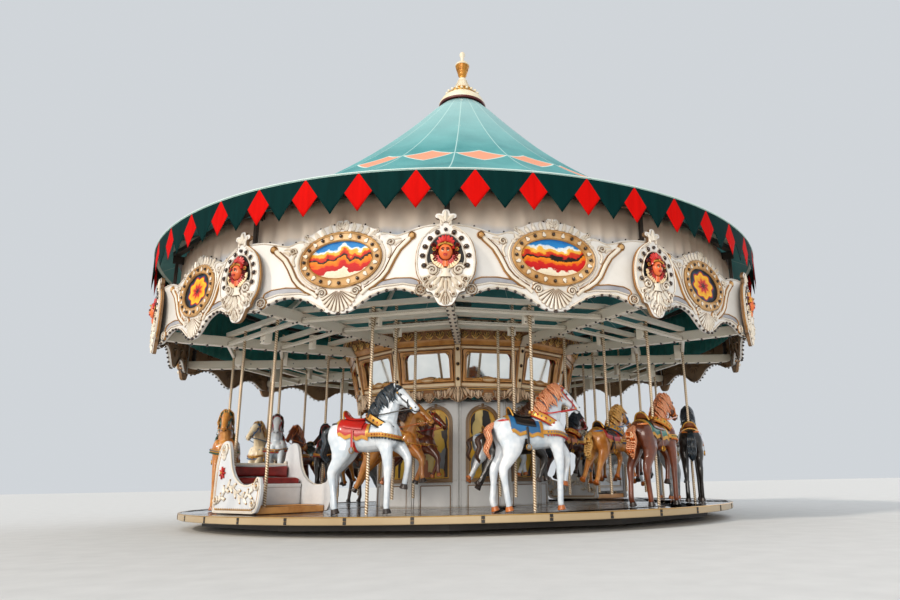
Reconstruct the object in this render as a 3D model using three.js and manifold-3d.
// Fairground carousel: a turning deck with three rows of horses and two chariots, hung from twelve
// sweeps round a mast, under a sweeping canopy with a valance, rounding boards and a mirrored crown.
// Millimetres, +Z up. The origin is on the ground at the mast's axis, and the front shield faces -Y.
import * as THREE from "three";
import { mergeVertices } from "three/addons/utils/BufferGeometryUtils.js";
import Module from "manifold-3d";

const wasm = await Module();
wasm.setup();

// Driving dimensions
const gap = 0.3;
const sections = 12;
const plinth = { radius: 1750, top: 120 };
const mast = { radius: 180, top: 8740, collarRadius: 330, collarTop: 2760, sides: 16 };
const drum = { corner: 1650, wall: 60, top: 2080, archWidth: 500, archFoot: 720, archTop: 1930, recess: 25 };
const hub = { bore: 200, outer: 420, top: 3220 };
const sweep = { tip: 5530, width: 100, bottom: 2950, top: 3120 };
const purlin = { width: 90, height: 70 };
const rows = { inner: 2650, middle: 3500, outer: 4350 };
const pole = { radius: 24, sides: 6, bore: 24.4, foot: 430, top: 3450 };
const eave = { outer: 5500, inner: 5400, bottom: 4420, top: 4490, postWidth: 50 };
const canopy = { rimHeight: 4539, topHeight: 8830, rimRise: 2350, sheet: 20, gores: 48 };
const canopyRings = [5776, 4900, 4000, 3100, 2200, 1300, 500];
const rafter = { width: 70, depth: 140, collarOuter: 470, collarBottom: 8620, collarTop: 8760 };
const valance = { teeth: 96, valley: 4255, tip: 3985, sheet: 12 };
const curtain = { radius: 5320, fold: 14, folds: 24, bottom: 3300, sheet: 12 };
const board = { corner: 5590, thickness: 40, setBack: 40, frameDepth: 35 };
const shield = { back: 5580, thickness: 60, bossWidth: 60, bossBottom: 2920, bossTop: 3500 };
const picture = { width: 1140, height: 770, rimWidth: 117, centre: 3487 };
const deck = { outer: 4980, inner: 1900, top: 260, sheet: 35, skirtBottom: 155, skirtSheet: 40, panels: 36 };
const frame = { outer: 4650, inner: 2050, rail: 100, bottom: 60, spokeBottom: 140, spokeWidth: 80 };
const crown = { bottom: 2240, top: 2949.7, foot: 2080, head: 2240, depth: 70, railHeight: 75, postWidth: 110 };
const cornice = { top: 3360, foot: 2250, head: 2460, depth: 80 };
const lambrequin = { bottom: 1985, valley: 2070, depth: 30, steps: 48 };
const chariot = { length: 1500, outer: 4560, inner: 3360, panel: 50, height: 1080, seat: 430, section: 10 };

const cornerAngle = index => THREE.MathUtils.degToRad(-90 + 360 / sections * index);
const middleAngle = index => cornerAngle(index + 0.5);
const toCorner = 1 / Math.cos(Math.PI / sections);
const group = new THREE.Group();

function paint(color, roughness, metalness = 0) {
  return new THREE.MeshStandardMaterial({ color, roughness, metalness });
}

function place(name, geometry, material) {
  const mesh = new THREE.Mesh(geometry, material);
  mesh.name = name;
  group.add(mesh);
  return mesh;
}

// Welds shared corners, drops empty triangles and turns every face outward.
function closed(geometry) {
  const plain = new THREE.BufferGeometry();
  plain.setAttribute("position", geometry.getAttribute("position"));
  plain.setIndex(geometry.getIndex());
  const welded = mergeVertices(plain, 0.02);
  const found = welded.getIndex().array;
  const corner = number => new THREE.Vector3().fromBufferAttribute(welded.getAttribute("position"), number);
  const kept = [];
  let volume = 0;
  for (let i = 0; i < found.length; i += 3) {
    const [a, b, c] = found.slice(i, i + 3);
    if (a === b || b === c || c === a) continue;
    kept.push(a, b, c);
    volume += corner(a).dot(corner(b).cross(corner(c)));
  }
  if (volume < 0) kept.reverse();
  welded.setIndex(kept);
  return welded;
}

function solid(geometry) {
  const shape = closed(geometry);
  const vertProperties = Float32Array.from(shape.getAttribute("position").array);
  const triVerts = Uint32Array.from(shape.getIndex().array);
  return new wasm.Manifold(new wasm.Mesh({ numProp: 3, vertProperties, triVerts }));
}

function geometryOf(body) {
  const mesh = body.getMesh();
  const geometry = new THREE.BufferGeometry();
  geometry.setAttribute("position", new THREE.BufferAttribute(Float32Array.from(mesh.vertProperties), 3));
  geometry.setIndex([...mesh.triVerts]);
  return geometry;
}

function join(parts) {
  return geometryOf(parts.map(solid).reduce((body, part) => body.add(part)));
}

function cut(geometry, tools) {
  return geometryOf(tools.map(solid).reduce((body, tool) => body.subtract(tool), solid(geometry)));
}

// A turned piece from [radius, height] points that start and end on the axis or close on themselves.
function turned(points, sides) {
  const profile = points.map(([radius, height]) => new THREE.Vector2(radius, height));
  return new THREE.LatheGeometry(profile, sides).rotateX(Math.PI / 2);
}

// A closed ring whose section at each step is the list of [radius, height] corners from sectionAt.
function ring(steps, sectionAt) {
  const positions = [];
  const index = [];
  const corners = sectionAt(0).length;
  for (let step = 0; step < steps; step++) {
    const angle = cornerAngle(0) + step / steps * 2 * Math.PI;
    const next = (step + 1) % steps;
    sectionAt(step).forEach(([radius, height], corner) => {
      positions.push(radius * Math.cos(angle), radius * Math.sin(angle), height);
      const following = (corner + 1) % corners;
      const [a, b] = [step * corners + corner, step * corners + following];
      const [c, d] = [next * corners + corner, next * corners + following];
      index.push(a, c, b, b, c, d);
    });
  }
  const geometry = new THREE.BufferGeometry();
  geometry.setAttribute("position", new THREE.Float32BufferAttribute(positions, 3));
  geometry.setIndex(index);
  return closed(geometry);
}

function rectangle(inner, outer, bottom, top) {
  return [[outer, top], [outer, bottom], [inner, bottom], [inner, top]];
}

function box(xFrom, xTo, yFrom, yTo, zFrom, zTo) {
  const geometry = new THREE.BoxGeometry(xTo - xFrom, yTo - yFrom, zTo - zFrom);
  return geometry.translate((xFrom + xTo) / 2, (yFrom + yTo) / 2, (zFrom + zTo) / 2);
}

// A radial bar at the given angle: lateral is its half width.
function radialBox(angle, from, to, lateral, bottom, top) {
  return box(from, to, -lateral, lateral, bottom, top).rotateZ(angle);
}

function outline(points) {
  return new THREE.Shape(points.map(([x, y]) => new THREE.Vector2(x, y)));
}

function mirrored(half) {
  const others = half.filter(([x]) => x > 0).map(([x, y]) => [-x, y]).reverse();
  return [...half, ...others];
}

function plate(shape, thickness, curveSegments = 6) {
  return new THREE.ExtrudeGeometry(shape, { depth: thickness, bevelEnabled: false, curveSegments });
}

// Stands a plate upright, facing out at this angle, with its back at this distance from the axis.
function facingOut(geometry, angle, distance) {
  const out = new THREE.Vector3(Math.cos(angle), Math.sin(angle), 0);
  const up = new THREE.Vector3(0, 0, 1);
  const basis = new THREE.Matrix4().makeBasis(new THREE.Vector3().crossVectors(up, out), up, out);
  return geometry.applyMatrix4(basis).translate(out.x * distance, out.y * distance, 0);
}

// A profile in the plane through the axis at this angle, thickened sideways.
function radialPlate(points, angle, width) {
  const geometry = plate(outline(points), width).rotateX(Math.PI / 2);
  return geometry.translate(0, width / 2, 0).rotateZ(angle);
}

// A straight tapering limb between two points.
function limb(from, to, radiusFrom, radiusTo, sides = 4) {
  const start = new THREE.Vector3(...from);
  const way = new THREE.Vector3(...to).sub(start);
  const geometry = new THREE.CylinderGeometry(radiusTo, radiusFrom, way.length(), sides);
  geometry.translate(0, way.length() / 2, 0).rotateY(Math.PI / sides);
  const turn = new THREE.Quaternion().setFromUnitVectors(new THREE.Vector3(0, 1, 0), way.normalize());
  return geometry.applyQuaternion(turn).translate(start.x, start.y, start.z);
}

function every(make) {
  return Array.from({ length: sections }, (unused, index) => make(index));
}

// Base: plinth, mast and drum
function buildBase() {
  const plinthDisc = turned([[0, 0], [plinth.radius, 0], [plinth.radius, plinth.top], [0, plinth.top]], 24);
  place("drum_plinth", closed(plinthDisc), paint("#4c4a48", 0.8));

  const post = turned([
    [0, plinth.top + gap], [mast.radius, plinth.top + gap], [mast.radius, mast.collarTop - 160],
    [mast.collarRadius, mast.collarTop - 60], [mast.collarRadius, mast.collarTop],
    [mast.radius, mast.collarTop], [mast.radius, mast.top], [0, mast.top],
  ], mast.sides);
  place("center_mast", closed(post), paint("#5a5f62", 0.5, 0.6));

  const wall = ring(sections, () => rectangle(drum.corner - drum.wall, drum.corner, plinth.top + gap, drum.top));
  place("center_drum", cut(wall, every(drumNiche)), paint("#d9d8d3", 0.55));
}

function drumNiche(index) {
  const radius = drum.archWidth / 2;
  const arch = new THREE.Shape();
  arch.moveTo(-radius, drum.archFoot);
  arch.lineTo(radius, drum.archFoot);
  arch.absarc(0, drum.archTop - radius, radius, 0, Math.PI);
  const face = drum.corner / toCorner;
  return facingOut(plate(arch, 2 * drum.recess, 4), middleAngle(index), face - drum.recess);
}

// Hub, sweeps and the purlins that carry the horse poles
function buildSweeps() {
  const hubBottom = mast.collarTop + gap;
  const hubRing = ring(24, () => rectangle(hub.bore, hub.outer, hubBottom, hub.top));
  place("hub", hubRing, paint("#e4ddcc", 0.5));

  const eye = ring(24, () => rectangle(hub.outer + gap, hub.outer + 160, sweep.bottom, sweep.top));
  const arms = every(index => radialBox(cornerAngle(index), hub.outer + 80, sweep.tip, sweep.width / 2,
    sweep.bottom, sweep.top));
  place("sweeps", join([eye, ...arms]), paint("#e9e2d2", 0.5));

  for (const [row, radius] of Object.entries(rows)) {
    place(`purlin_ring_${row}`, purlinRing(radius, row !== "outer"), paint("#e9e2d2", 0.5));
  }
}

function isChariotSection(index) {
  return index % 6 === chariot.section % 6;
}

function purlinRing(radius, bored) {
  const inner = (radius - purlin.width / 2) * toCorner;
  const outer = (radius + purlin.width / 2) * toCorner;
  const bottom = sweep.top + gap;
  const rail = ring(sections, () => rectangle(inner, outer, bottom, bottom + purlin.height));
  if (!bored) return rail;
  const bores = every(index => index).filter(index => !isChariotSection(index)).map(index => {
    const angle = middleAngle(index);
    const bore = new THREE.CylinderGeometry(pole.bore, pole.bore, 3 * purlin.height, pole.sides);
    bore.rotateX(Math.PI / 2).rotateZ(angle + Math.PI / 2);
    return bore.translate(radius * Math.cos(angle), radius * Math.sin(angle), bottom);
  });
  return cut(rail, bores);
}

// Roof: eave ring with its posts, rafters, canopy, valance, curtain and cap
const [canopyRim, canopyTop] = [canopyRings[0], canopyRings.at(-1)];

// The cloth rises gently at its rim and steeply at the cap.
function canopyHeight(radius) {
  const way = (canopyRim - radius) / (canopyRim - canopyTop);
  const bend = canopy.topHeight - canopy.rimHeight - canopy.rimRise;
  return canopy.rimHeight + canopy.rimRise * way + bend * way * way;
}

function buildRoof() {
  const beam = ring(sections, () => rectangle(eave.inner, eave.outer, eave.bottom, eave.top));
  const posts = every(index => radialBox(cornerAngle(index), eave.inner, eave.inner + eave.postWidth,
    eave.postWidth / 2, sweep.top + gap, eave.bottom + 10));
  place("eave_ring", join([beam, ...posts]), paint("#3a332e", 0.6));

  const collar = ring(mast.sides, () => rectangle(mast.radius + 4, rafter.collarOuter, rafter.collarBottom,
    rafter.collarTop)).rotateZ(Math.PI / mast.sides);
  place("rafters", join([collar, ...every(rafterBar)]), paint("#cfc8b8", 0.6));

  const outside = canopyRings.map(radius => [radius, canopyHeight(radius)]);
  const inside = outside.map(([radius, height]) => [radius, height - canopy.sheet]).reverse();
  place("canopy", ring(canopy.gores, () => [...outside, ...inside]), paint("#7fb3ad", 0.6));

  place("valance", valanceRing(), paint("#c8352b", 0.7));

  const drape = ring(2 * curtain.folds, step => {
    const radius = curtain.radius + (step % 2 ? curtain.fold : 0);
    return rectangle(radius - curtain.sheet, radius, curtain.bottom, eave.bottom - gap);
  });
  place("curtain", drape, paint("#b7a693", 0.9));
}

function rafterBar(index) {
  const drop = canopy.sheet + 5;
  const joints = canopyRings.slice(1, -1);
  const head = rafter.collarOuter - 60;
  const upper = [5500, ...joints, 560].map(radius => [radius, canopyHeight(radius) - drop]);
  const lower = joints.map(radius => [radius, canopyHeight(radius) - drop - rafter.depth]).reverse();
  return radialPlate([
    [eave.outer, eave.top + gap], ...upper, [head, rafter.collarTop - 5], [head, rafter.collarBottom + 5],
    ...lower, [eave.inner, eave.top + gap],
  ], cornerAngle(index), rafter.width);
}

function valanceRing() {
  const top = canopy.rimHeight - canopy.sheet - gap;
  return ring(2 * valance.teeth, step => {
    const bottom = step % 2 ? valance.valley : valance.tip;
    return rectangle(canopyRim - valance.sheet, canopyRim, bottom, top);
  });
}

function buildCap() {
  const seat = rafter.collarTop + gap;
  const flange = canopy.topHeight + gap;
  const cap = turned([
    [0, seat], [300, seat], [300, flange], [530, flange], [530, flange + 60], [500, flange + 130],
    [440, flange + 225], [350, flange + 290], [345, flange + 340], [230, flange + 350],
    [215, flange + 440], [235, flange + 460], [190, flange + 500], [130, flange + 620],
    [84, flange + 765], [0, flange + 765],
  ], 16);
  place("roof_cap", closed(cap), paint("#e3d3a0", 0.45));

  const foot = flange + 765 + gap;
  const urn = turned([
    [0, foot], [74, foot], [120, foot + 110], [160, foot + 270], [166, foot + 360], [120, foot + 430],
    [45, foot + 465], [40, foot + 530], [54, foot + 590], [50, foot + 660], [0, foot + 722],
  ], 16);
  place("finial", closed(urn), paint("#c79a3f", 0.35, 0.7));
}

// Rounding boards: six lengths, each two boards wide with two shields
function boardPanel(index) {
  const half = board.corner * Math.sin(Math.PI / sections) - board.setBack;
  const shape = outline(mirrored([
    [150, 4020], [190, 3950], [470, 3880], [790, 3755], [half, 3815],
    [half, 2880], [1150, 2870], [1000, 2965], [780, 3035], [540, 3000], [240, 2830], [80, 2770],
  ]));
  const back = board.corner / toCorner - board.thickness;
  return facingOut(plate(shape, board.thickness), middleAngle(index), back);
}

function pictureFrame(index) {
  const shape = new THREE.Shape();
  shape.absellipse(0, picture.centre, picture.width / 2, picture.height / 2, 0, 2 * Math.PI);
  const hole = new THREE.Path();
  const [across, high] = [picture.width / 2 - picture.rimWidth, picture.height / 2 - picture.rimWidth];
  hole.absellipse(0, picture.centre, across, high, 0, 2 * Math.PI);
  shape.holes.push(hole);
  const face = board.corner / toCorner;
  return facingOut(plate(shape, board.frameDepth + 10, 5), middleAngle(index), face - 10);
}

function shieldPlate(index) {
  const shape = outline(mirrored([
    [50, 3990], [130, 3920], [78, 3840], [78, 3795], [220, 3725],
    [330, 3580], [375, 3350], [350, 3140], [240, 2970], [60, 2740],
  ]));
  const niche = mirrored([[170, 3240], [231, 3350], [195, 3500], [90, 3635]]);
  shape.holes.push(new THREE.Path(niche.map(([x, y]) => new THREE.Vector2(x, y))));
  return facingOut(plate(shape, shield.thickness), cornerAngle(index), shield.back);
}

function shieldBoss(index, from) {
  const shape = box(from, shield.bossWidth, shield.bossBottom, shield.bossTop, 0,
    shield.back + 6 - sweep.tip - gap);
  return facingOut(shape, cornerAngle(index), sweep.tip + gap);
}

function buildBoards() {
  for (let first = 0; first < sections; first += 2) {
    const pair = [first, first + 1];
    place(`rounding_boards_${first / 2 + 1}`, join([
      ...pair.map(shieldPlate), ...pair.map(boardPanel), ...pair.map(pictureFrame),
      shieldBoss(first, 0), shieldBoss(first + 1, -shield.bossWidth),
    ]), paint("#f3eee2", 0.45));
  }
}

// Deck with its skirt, and the frame under it
function buildDeck() {
  const { outer, inner, top, sheet, skirtBottom, skirtSheet } = deck;
  const floor = ring(deck.panels, () => [
    [outer, top], [outer, skirtBottom], [outer - skirtSheet, skirtBottom],
    [outer - skirtSheet, top - sheet], [inner, top - sheet], [inner, top],
  ]);
  place("deck", floor, paint("#8f7d68", 0.4));

  const under = top - sheet - gap;
  const outerRail = ring(sections, () => rectangle(frame.outer - frame.rail, frame.outer, frame.bottom, under));
  const innerRail = ring(sections, () => rectangle(frame.inner, frame.inner + frame.rail, frame.bottom, under));
  const spokes = every(index => radialBox(cornerAngle(index), frame.inner + frame.rail / 2,
    frame.outer - frame.rail / 2, frame.spokeWidth / 2, frame.spokeBottom, under));
  place("deck_frame", join([outerRail, innerRail, ...spokes]), paint("#1c1b1a", 0.7));
}

// Crown: a flared frame with mirrors, a cornice above and a carved lambrequin below
function crownRadius(height) {
  return crown.foot + (crown.head - crown.foot) * (height - crown.bottom) / (crown.top - crown.bottom);
}

function crownRail(bottom, top) {
  return ring(sections, () => [
    [crownRadius(top), top], [crownRadius(bottom), bottom],
    [crownRadius(bottom) - crown.depth, bottom], [crownRadius(top) - crown.depth, top],
  ]);
}

function crownPost(index) {
  const [bottom, top] = [crown.bottom, crown.top];
  const proud = 8;
  return radialPlate([
    [crownRadius(bottom) + proud, bottom], [crownRadius(top) + proud, top],
    [crownRadius(top) - crown.depth + proud, top], [crownRadius(bottom) - crown.depth + proud, bottom],
  ], cornerAngle(index), crown.postWidth);
}

function corniceRing() {
  const foot = crown.top + 2 * gap;
  const rim = ring(sections, () => [
    [cornice.foot, foot], [cornice.foot + 45, foot + 70], [cornice.foot + 70, foot + 80],
    [cornice.head - 60, cornice.top - 130], [cornice.head, cornice.top],
    [cornice.head - cornice.depth, cornice.top], [cornice.foot - cornice.depth, foot],
  ]);
  const notches = every(index => radialBox(cornerAngle(index), cornice.foot - 200, cornice.head + 100,
    sweep.width / 2 + 2, crown.top - 50, sweep.top + 1));
  return cut(rim, notches);
}

function lambrequinRing() {
  const perSection = lambrequin.steps / sections;
  const top = crown.bottom - gap;
  return ring(lambrequin.steps, step => {
    const aside = (step % perSection - perSection / 2) / perSection * 2 * Math.PI / sections;
    const reach = 1 / toCorner / Math.cos(aside);
    const bottom = step % 2 ? lambrequin.valley : lambrequin.bottom + (step % perSection ? 35 : 0);
    const outer = (crown.foot - 8) * reach;
    return [[outer, top], [outer - 50, bottom], [outer - 50 - lambrequin.depth, bottom],
      [outer - lambrequin.depth, top]];
  });
}

function buildCrown() {
  const rails = [
    crownRail(crown.bottom, crown.bottom + crown.railHeight),
    crownRail(crown.top - crown.railHeight, crown.top),
  ];
  place("crown", join([...rails, ...every(crownPost)]), paint("#d3a76a", 0.5));

  const behind = crown.depth + 2 * gap;
  const [low, high] = [crown.bottom + 20, crown.top - 20];
  const glass = ring(sections, () => [
    [crownRadius(high) - behind, high], [crownRadius(low) - behind, low],
    [crownRadius(low) - behind - 10, low], [crownRadius(high) - behind - 10, high],
  ]);
  place("crown_mirrors", glass, paint("#dfe6ea", 0.05, 1));
  place("crown_cornice", corniceRing(), paint("#c9a05a", 0.5));
  place("crown_lambrequin", lambrequinRing(), paint("#dcc09a", 0.55));
}

// Horses: each faces +X with its pole on its own Z axis and its hooves near height 0
const standingLegs = [
  { side: -95, hip: [270, 980], joint: [330, 520], hoof: [300, 20] },
  { side: 95, hip: [270, 980], joint: [450, 650], hoof: [400, 330] },
  { side: -95, hip: [-330, 980], joint: [-430, 520], hoof: [-380, 20] },
  { side: 95, hip: [-330, 980], joint: [-470, 530], hoof: [-480, 20] },
];
const gallopingLegs = [
  { side: -95, hip: [270, 980], joint: [470, 700], hoof: [400, 400] },
  { side: 95, hip: [270, 980], joint: [520, 740], hoof: [560, 440] },
  { side: -95, hip: [-330, 980], joint: [-480, 620], hoof: [-640, 350] },
  { side: 95, hip: [-330, 980], joint: [-430, 600], hoof: [-560, 300] },
];

// An upright plate along X, with its middle this far aside.
function sidePlate(points, width, aside = 0) {
  return plate(outline(points), width).rotateX(Math.PI / 2).translate(0, aside + width / 2, 0);
}

function leg({ side, hip, joint, hoof }) {
  const [thigh, shank] = [80, 42];
  return sidePlate([
    [hip[0] - thigh, hip[1]], [joint[0] - shank, joint[1]], [hoof[0] - shank, hoof[1]],
    [hoof[0] + shank, hoof[1]], [joint[0] + shank, joint[1]], [hip[0] + thigh, hip[1]],
  ], 2 * shank, side);
}

function horse(legs, size, lift, poleFoot, poleTop) {
  const parts = [
    limb([-430, 0, 1010], [350, 0, 1000], 200, 205, 6),
    sidePlate([
      [200, 1000], [390, 1040], [500, 1330], [570, 1390], [770, 1330], [805, 1430], [520, 1650],
      [430, 1640], [130, 1180],
    ], 150),
    sidePlate([[-380, 1050], [-380, 1180], [-520, 1150], [-650, 780], [-560, 740]], 80),
    ...legs.map(leg),
  ];
  const animal = parts.map(part => part.scale(size, size, size).translate(0, 0, lift));
  const rod = new THREE.CylinderGeometry(pole.radius, pole.radius, poleTop - poleFoot, pole.sides);
  rod.rotateX(Math.PI / 2).translate(0, 0, (poleFoot + poleTop) / 2);
  return join([...animal, rod]);
}

function seatHorse(name, geometry, radius, index, color) {
  const mesh = place(name, geometry, paint(color, 0.4));
  const angle = middleAngle(index);
  mesh.position.set(radius * Math.cos(angle), radius * Math.sin(angle), 0);
  mesh.rotation.z = angle + Math.PI / 2;
}

function buildHorses() {
  const { top } = deck;
  const coats = ["#e8e6e0", "#c9924e", "#2b2523", "#7a4a2b", "#efe6d2"];
  const seats = every(index => index).filter(index => !isChariotSection(index));
  seats.forEach((index, order) => {
    const number = order + 1;
    const coat = coats[order % coats.length];
    const stander = horse(standingLegs, 1, top, top + gap, sweep.top);
    seatHorse(`outer_horse_${number}`, stander, rows.outer, index, coat);
    const middle = horse(gallopingLegs, 0.88, top + 60 + 40 * (order % 3), pole.foot, pole.top);
    seatHorse(`middle_horse_${number}`, middle, rows.middle, index, coats[(order + 1) % coats.length]);
    const inner = horse(gallopingLegs, 0.78, top + 150 + 40 * ((order + 1) % 3), pole.foot, pole.top);
    seatHorse(`inner_horse_${number}`, inner, rows.inner, index, coats[(order + 3) % coats.length]);
  });
}

// Chariots: two carved sides with a seat, a back and a footboard between them
function chariotSide() {
  const half = chariot.length / 2;
  return outline([
    [-half, 60], [half - 150, 60], [half, 260], [half - 40, 520], [half - 300, 420], [50, 470],
    [-200, 720], [-330, chariot.height], [-600, chariot.height - 60], [-half + 20, 640],
  ]);
}

function chariotBody() {
  const length = chariot.length;
  const { inner, outer, panel, seat, height } = chariot;
  const bottom = deck.top + gap;
  const sides = [inner, outer - panel].map(distance => {
    return facingOut(plate(chariotSide(), panel), 0, distance).translate(0, 0, deck.top);
  });
  const benches = [
    box(inner, outer, -length / 2 + 100, -120, deck.top + seat - 60, deck.top + seat),
    box(inner, outer, -length / 2 + 80, -length / 2 + 140, deck.top + 160, deck.top + height - 350),
    box(inner, outer, -length / 2 + 80, length / 2 - 180, bottom, deck.top + 110),
  ];
  const rods = [-length / 2 + 200, length / 2 - 250].map(along => {
    const rod = new THREE.CylinderGeometry(pole.radius, pole.radius, sweep.top - bottom, pole.sides);
    rod.rotateX(Math.PI / 2);
    return rod.translate(rows.outer, along, (sweep.top + bottom) / 2);
  });
  return join([...sides, ...benches, ...rods]);
}

function buildChariots() {
  const body = chariotBody();
  every(index => index).filter(isChariotSection).forEach((index, order) => {
    const mesh = place(`chariot_${order + 1}`, body, paint("#b9bcc2", 0.5));
    mesh.rotation.z = middleAngle(index);
  });
}

buildBase();
buildSweeps();
buildRoof();
buildCap();
buildBoards();
buildDeck();
buildCrown();
buildHorses();
buildChariots();

export default group;
